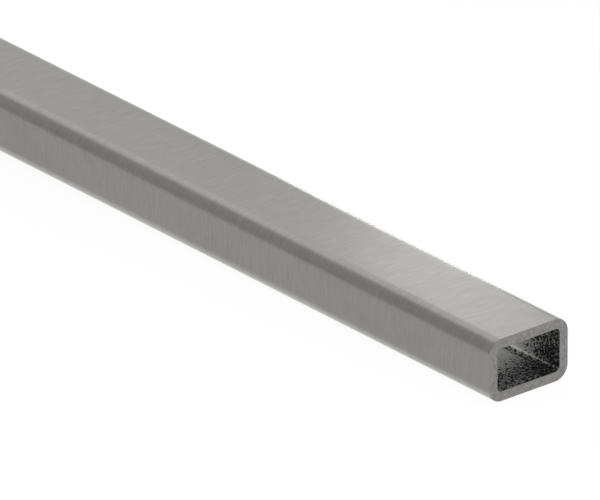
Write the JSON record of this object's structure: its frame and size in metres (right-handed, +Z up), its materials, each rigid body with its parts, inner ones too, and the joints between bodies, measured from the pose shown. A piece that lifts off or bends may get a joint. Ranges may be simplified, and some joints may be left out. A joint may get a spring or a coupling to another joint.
{
  "type": "rectangular steel tube",
  "caption": "Thick-walled rectangular steel tube with rounded corners and square-sawn ends, lying on a wide face: plain stock for frames, brackets and rails.",
  "frame": {"origin": "middle of the underside, on the floor that the tube lies on", "axes": "+X along the tube's length, +Y across its wide faces, +Z up across its height"},
  "size_m": [0.9144, 0.0762, 0.0508],
  "materials": {
    "brushed_mild_steel": "bare mild steel: fine cross-brushed lines outside and on the sawn ends, dark speckled mill scale in the bore"
  },
  "bodies": {
    "root": {"tube": "brushed_mild_steel"}
  },
  "joints": []
}
